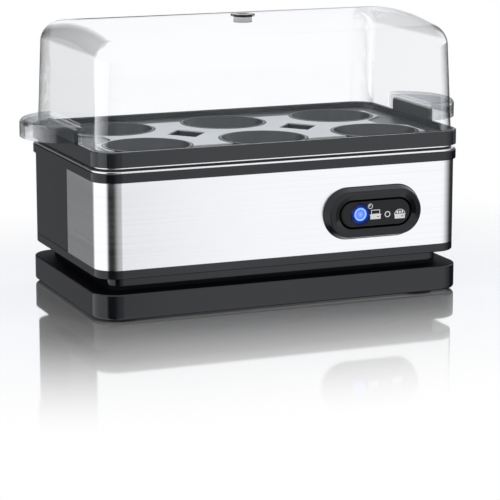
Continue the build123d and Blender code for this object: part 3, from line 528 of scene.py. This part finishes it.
rack_moulding = bpy.data.materials.new("rack_moulding")
sheet = Sheet(rack_moulding)
spot = sheet.place()
rack_x, rack_y, rack_z = sheet.parts(spot)
within_length = rack_inside[0] - rack_x.absolute() > 0
within_depth = rack_inside[1] - rack_y.absolute() > 0
on_tab = rack_z > rack_high[2] - TAB_RISE
satin = (within_length * within_depth).at_least(on_tab)
patches = sheet.noise(spot, RACK_PATCH_SCALE, 3.0)
skin = sheet.noise(spot, RACK_SKIN_SCALE, 2.0)
floor_colour = mix(sheet, patches, (0.044, 0.049, 0.053, 1), (0.054, 0.060, 0.064, 1))
rim_colour = mix(sheet, patches, (0.016, 0.0175, 0.019, 1), (0.020, 0.022, 0.024, 1))
tab_colour = mix(sheet, patches, (0.070, 0.075, 0.080, 1), (0.080, 0.086, 0.091, 1))
rack_colour = mix(sheet, on_tab, mix(sheet, satin, rim_colour, floor_colour), tab_colour)
# Painted highlight: a pale band along the very top of the tabs, where their rounded edge catches light
rack_colour = mix(sheet, rack_z > rack_high[2] - TAB_HIGHLIGHT_BAND, rack_colour, grey(TAB_HIGHLIGHT_TONE))
rack_surface = sheet.node("ShaderNodeBsdfPrincipled", {}, {
    "Base Color": rack_colour, "Normal": sheet.bump(skin * satin, RACK_SKIN_DEPTH), "IOR": 1.5,
    "Roughness": satin * (RACK_SATIN - RIM_GLOSS) + (patches - 0.5) * RACK_WANDER + RIM_GLOSS})
sheet.finish("ShaderNodeOutputMaterial", rack_surface)
print("rack floor half size in m:", rack_inside)

# %% [markdown]
# The inside is hidden, but the lid lifts off and the part may be cut open by its next user. So the
# wires, the board and the mouldings in there get finishes of their own too.

# %% Inner pieces
inlay_grey = moulding("inlay_grey", (0.56, 0.585, 0.605), 0.42, 0.10, 2200.0, 0.000008)
natural_nylon = moulding("natural_nylon", (0.62, 0.60, 0.53), 0.45, 0.12, 1200.0, 0.000010)
dark_phenolic = moulding("dark_phenolic", (0.035, 0.022, 0.016), 0.40, 0.15, 1500.0, 0.000012)
black_rubber = moulding("black_rubber", (0.020, 0.020, 0.021), 0.62, 0.15, 2500.0, 0.000020)
dark_silicone = moulding("dark_silicone", (0.010, 0.010, 0.011), 0.50, 0.12, 1500.0, 0.000010)
blue_sleeve = moulding("blue_wire_sleeve", (0.03, 0.12, 0.50), 0.42, 0.10, 1800.0, 0.000008)
green_sleeve = moulding("green_wire_sleeve", (0.08, 0.40, 0.10), 0.42, 0.10, 1800.0, 0.000008)
brown_sleeve = moulding("brown_wire_sleeve", (0.20, 0.08, 0.03), 0.42, 0.10, 1800.0, 0.000008)
glass_sleeve = moulding("glass_wire_sleeve", (0.75, 0.75, 0.72), 0.60, 0.15, 3200.0, 0.000030)
board_mask = moulding("board_solder_mask", (0.02, 0.16, 0.07), 0.30, 0.12, 1500.0, 0.000010)
blackened_steel = metal("blackened_steel", (0.05, 0.05, 0.052), 0.38, 0.15, 0.000003, (900.0, 900.0, 900.0))
print("inner finishes from", inlay_grey.name, "to", blackened_steel.name)

# %% [markdown]
# The indicator is lit. A bright blue ring and a deeper blue lens glow, and a soft blue halo lies on
# the black button round them. Each glow changes with the distance from the middle of the light.

# %% Indicator light
light_low, light_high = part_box("light_ring")
LIGHT_X = 0.5 * (light_low[0] + light_high[0])
LIGHT_Z = 0.5 * (light_low[2] + light_high[2])
LIGHT_RADIUS = 0.5 * (light_high[0] - light_low[0])
MIDDLE_STOP = 0.55
GLOW_ROUGHNESS = 0.3
HALO_REACH = 1.85
HALO_FADE = 1.4


def glow(name, inner, middle, outer, reach, alpha_power=None):
    """Lit plastic whose colour runs from the middle of the light to its reach."""
    paint = bpy.data.materials.new(name)
    sheet = Sheet(paint)
    side, _, height = sheet.parts(sheet.place())
    away = distance(side - LIGHT_X, height - LIGHT_Z) * (1 / reach)
    stops = [(0.0, inner), (MIDDLE_STOP, middle), (1.0, outer)]
    colour = sheet.node("ShaderNodeValToRGB", {"stops": stops}, {0: away})
    inputs = {
        "Base Color": colour, "Emission Color": colour, "Emission Strength": 1.0, "Roughness": GLOW_ROUGHNESS}
    if alpha_power:
        settings = {"operation": "SUBTRACT", "use_clamp": True}
        fade = sheet.node("ShaderNodeMath", settings, {0: 1.0, 1: away})
        inputs["Alpha"] = fade.math("POWER", fade, alpha_power)
    sheet.finish("ShaderNodeOutputMaterial", sheet.node("ShaderNodeBsdfPrincipled", {}, inputs))
    return paint


ring_glow = glow(
    "lit_ring", (0.15, 0.30, 0.90, 1), (0.15, 0.30, 0.90, 1), (0.17, 0.34, 0.95, 1), LIGHT_RADIUS)
lens_glow = glow(
    "lit_lens", (0.17, 0.30, 0.88, 1), (0.06, 0.13, 0.62, 1), (0.03, 0.07, 0.45, 1), LIGHT_RADIUS)
halo_glow = glow(
    "lit_halo", (0.02, 0.10, 0.60, 1), (0.01, 0.06, 0.45, 1), (0.0, 0.02, 0.25, 1),
    HALO_REACH * LIGHT_RADIUS, alpha_power=HALO_FADE)
print("light radius in m:", LIGHT_RADIUS)

# %% [markdown]
# Each solid now gets the finish of its real material. One table from finish to solids keeps this in
# sight, and the last line would name any solid that was left bare.

# %% Assign finishes to the solids
finishes = {
    gloss_black: ["neck", "lower_ring", "upper_ring", "steam_vent"],
    bezel_black: ["switch_bezel"],
    base_black: ["base_tray"],
    shell_black: ["housing_shell", "rear_panel"],
    switch_moulding: ["rocker", "switch_body", "buzzer"],
    satin_black: ["bottom_cover"],
    black_rubber: ["rubber_feet", "cord_gland"],
    dark_silicone: ["pan_gasket"],
    rack_moulding: ["egg_rack"],
    inlay_grey: ["rack_inlay"],
    clear_lid: ["lid", "indicator_led"],
    brushed_steel: ["steel_band"],
    pressed_steel: ["water_pan"],
    polished_trim: ["trim_ring"],
    zinc_steel: ["base_screws", "plate_nuts", "thermostat_screws", "fuse_clip"],
    blackened_steel: ["rocker_pin"],
    heater_sheath: ["heating_element"],
    cast_aluminium: ["heat_plate"],
    turned_brass: ["terminal_screws"],
    fuse_can: ["thermal_fuse"],
    natural_nylon: ["terminal_block"],
    dark_phenolic: ["thermostat"],
    blue_sleeve: ["neutral_lead"],
    green_sleeve: ["earth_lead"],
    brown_sleeve: ["live_lead"],
    glass_sleeve: ["thermostat_lead", "fuse_leads"],
    board_mask: ["control_board"],
    ring_glow: ["light_ring"],
    lens_glow: ["light_lens"],
}
for paint, names in finishes.items():
    for name in names:
        nodes[name].data.materials.clear()
        nodes[name].data.materials.append(paint)
bare = set(nodes) - {name for names in finishes.values() for name in names}
print("finished solids:", len(nodes) - len(bare), "bare:", sorted(bare))

# %% [markdown]
# Signs on the button say what it does: a timer, an open box for cooking, a nought for off, and a
# closed box with three eggs for keeping warm. On the real button they are printed. Here each sign is
# cut from flat sheets laid on the button's face, joined, and given the thickness of a print.

# %% Sign tools
MM = 0.001
PRINT = 0.05
LINE = 0.3
button_low, button_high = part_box("rocker")
FACE_Y = button_low[1]
BUTTON_X = 0.5 * (button_low[0] + button_high[0])
BUTTON_Z = 0.5 * (button_low[2] + button_high[2])


def on_face(x, z):
    """A point on the button's face, in mm from the middle of the button."""
    return (BUTTON_X + x * MM, FACE_Y, BUTTON_Z + z * MM)


def settle(sheet, wide, high, line):
    """Give a new flat sheet its size, and cut out its inside where it is only a line."""
    sheet.scale = (wide * MM, high * MM, 1)
    bpy.ops.object.transform_apply(location=True, rotation=True, scale=True)
    if line:
        bpy.ops.object.mode_set(mode="EDIT")
        bpy.ops.mesh.select_all(action="SELECT")
        bpy.ops.mesh.inset(thickness=line * MM)
        bpy.ops.mesh.delete(type="FACE")
        bpy.ops.object.mode_set(mode="OBJECT")
    return sheet


def plate(left, low, right, high, line=0):
    """A flat rectangle on the face."""
    bpy.ops.object.select_all(action="DESELECT")
    place = on_face((left + right) / 2, (low + high) / 2)
    bpy.ops.mesh.primitive_plane_add(size=1, location=place, rotation=(math.pi / 2, 0, 0))
    return settle(bpy.context.object, right - left, high - low, line)


def disc(x, z, half_wide, half_high, line=0):
    """A flat round or oval on the face."""
    bpy.ops.object.select_all(action="DESELECT")
    bpy.ops.mesh.primitive_circle_add(vertices=48, radius=1, fill_type="NGON", location=on_face(x, z),
                                      rotation=(math.pi / 2, 0, 0))
    return settle(bpy.context.object, half_wide, half_high, line)


def cut(sheet, x, z, normal):
    """Cut a sheet along a line and drop the side that the normal points away from."""
    bpy.ops.object.select_all(action="DESELECT")
    sheet.select_set(True)
    bpy.context.view_layer.objects.active = sheet
    bpy.ops.object.mode_set(mode="EDIT")
    bpy.ops.mesh.select_all(action="SELECT")
    bpy.ops.mesh.bisect(plane_co=on_face(x, z), plane_no=normal, clear_inner=True)
    bpy.ops.object.mode_set(mode="OBJECT")
    return sheet


def print_sign(name, sheets, paint, thickness=PRINT):
    """Join flat sheets to one sign, thicken it, and let it move with the button."""
    bpy.ops.object.select_all(action="DESELECT")
    for sheet in sheets:
        sheet.select_set(True)
    bpy.context.view_layer.objects.active = sheets[0]
    if len(sheets) > 1:
        bpy.ops.object.join()
    sign = bpy.context.object
    sign.name = name
    bpy.ops.object.modifier_add(type="SOLIDIFY")
    sign.modifiers[-1].thickness = thickness * MM
    sign.modifiers[-1].offset = 1
    bpy.ops.object.modifier_apply(modifier=sign.modifiers[-1].name)
    sign.data.materials.clear()
    sign.data.materials.append(paint)
    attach(sign, "rocker_body")
    return sign


print("button face at y =", FACE_Y)

# %% [markdown]
# Now the signs themselves. Their places are in mm from the middle of the button, with z up. The two
# cookers share one drawing. The halo is a ring as thin as a print that lies round the light, because
# a glow on the button needs a surface of its own to fade out on.

# %% Signs
TIMER = (-3.07, 3.65)
TIMER_RIM, TIMER_HAND = 1.3, 1.2
COOK_X, KEEP_WARM_X = -0.28, 12.82
OFF_RADIUS, OFF_LINE = 1.5, 0.45
EGG_PITCH = 1.35
DOME_FOOT = -1.15
BRIM_HALF, BRIM_HEIGHT, BOX_HALF = 3.06, 0.45, 2.75
SLOT_LOW, SLOT_HIGH, SLOT_LEFT, SLOT_RIGHT = 0.95, 1.35, 0.8, 1.9
HALO_RADIUS, HALO_PRINT = 5.5, 0.03
white_print = moulding("white_print", (0.84, 0.85, 0.86), 0.45, 0.10, 3000.0, 0.000004)
UP, LEFT = (0, 0, 1), (-1, 0, 0)

rim = disc(*TIMER, TIMER_RIM, TIMER_RIM, LINE)
hand = cut(cut(disc(*TIMER, TIMER_HAND, TIMER_HAND), *TIMER, UP), *TIMER, LEFT)
print_sign("sign_timer", [rim, hand], white_print)


def cooker_sign(middle, top, bottom):
    """The little cooker: a box, its brim, and a slot that stays open near its right end."""
    slot_low, slot_high = bottom + SLOT_LOW, bottom + SLOT_HIGH
    left, right, brim = middle - BOX_HALF, middle + BOX_HALF, top - BRIM_HEIGHT
    return [
        plate(middle - BRIM_HALF, brim, middle + BRIM_HALF, top),
        plate(left, slot_high, right, brim),
        plate(left, bottom, right, slot_low),
        plate(left, slot_low, middle + SLOT_LEFT, slot_high),
        plate(middle + SLOT_RIGHT, slot_low, right, slot_high),
    ]


open_box = cooker_sign(COOK_X, -0.47, -2.85) + [plate(-2.65, -0.5, 2.1, 1.75, LINE)]
print_sign("sign_cook", open_box, white_print)
print_sign("sign_off", [disc(6.17, -0.9, OFF_RADIUS, OFF_RADIUS, OFF_LINE)], white_print)
eggs = [disc(KEEP_WARM_X + step, -0.25, 0.5, 0.72) for step in (-EGG_PITCH, 0, EGG_PITCH)]
dome = cut(disc(KEEP_WARM_X, DOME_FOOT, 2.9, 2.35, LINE), KEEP_WARM_X, DOME_FOOT, UP)
full_box = cooker_sign(KEEP_WARM_X, -1.13, -3.46) + eggs + [dome]
print_sign("sign_keep_warm", full_box, white_print)
halo_x, halo_z = (LIGHT_X - BUTTON_X) / MM, (LIGHT_Z - BUTTON_Z) / MM
halo = [disc(halo_x, halo_z, HALO_RADIUS, HALO_RADIUS, HALO_RADIUS - LIGHT_RADIUS / MM)]
print_sign("light_halo", halo, halo_glow, thickness=HALO_PRINT)
print("signs ride on rocker_body")

# %% [markdown]
# Last, the view transform is set to Standard. The signs lie within the part's box, so they leave its size as
# it is.

# %% View transform
bpy.context.scene.view_settings.view_transform = "Standard"
